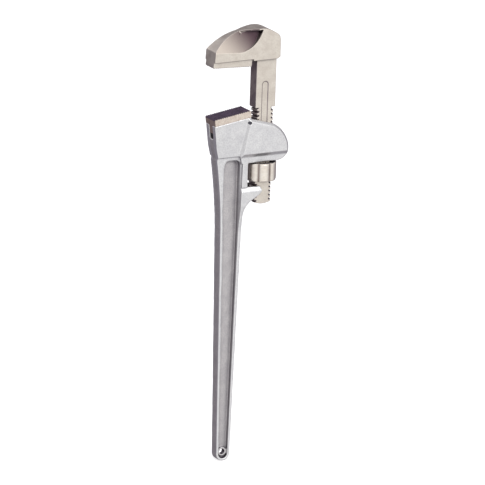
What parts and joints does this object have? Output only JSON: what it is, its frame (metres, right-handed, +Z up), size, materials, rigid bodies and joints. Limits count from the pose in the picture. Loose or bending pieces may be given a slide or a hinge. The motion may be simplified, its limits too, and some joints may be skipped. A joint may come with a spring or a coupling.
{
  "type": "pipe wrench",
  "caption": "straight pipe wrench with a ribbed cast handle, a screw-adjusted rocking hook jaw and a replaceable toothed heel jaw",
  "frame": {"origin": "centre of the hang hole at the bottom of the handle", "axes": "+Z up the handle to the jaws, +X to the rear where the hook jaw's shank is, +Y across the thickness"},
  "size_m": [0.1262, 0.0462, 0.6397],
  "materials": {
    "handle": "as-cast, tumbled satin",
    "heel_jaw": "hardened steel, dark teeth, warm brown flanks",
    "heel_jaw_pin": "ground steel",
    "hook_jaw": "forged and tumbled alloy steel, warm grey",
    "adjusting_nut": "satin, warm grey",
    "flat_spring": "blued spring steel",
    "coil_spring": "spring wire",
    "spring_rivet": "bright"
  },
  "bodies": {
    "handle": {"handle": "handle", "heel_jaw": "heel_jaw", "heel_jaw_pin": "heel_jaw_pin", "coil_spring": "coil_spring"},
    "leaf_spring": {"flat_spring": "flat_spring", "spring_rivet": "spring_rivet"},
    "hook": {"hook_jaw": "hook_jaw"},
    "nut": {"adjusting_nut": "adjusting_nut"}
  },
  "joints": [
    {"name": "hook_rock", "type": "hinge", "parent": "handle", "child": "leaf_spring", "pos_m": [0.05, 0, 0.4273], "axis": [0, 1, 0], "range_deg": [-3, 1], "stiffness_Nm_per_rad": 40, "deforming": ["coil_spring"]},
    {"name": "hook_slide", "type": "slide", "parent": "leaf_spring", "child": "hook", "axis": [0, 0, 1], "range_m": [-0.06, 0.027]},
    {"name": "nut_turn", "type": "hinge", "parent": "leaf_spring", "child": "nut", "pos_m": [0.05, 0, 0.4138], "axis": [0, 0, 1], "range_deg": [-1625, 3605]}
  ],
  "couplings": [
    {"joint": "nut_turn", "follows": "hook_slide", "rad_per_m": -1047.2}
  ]
}
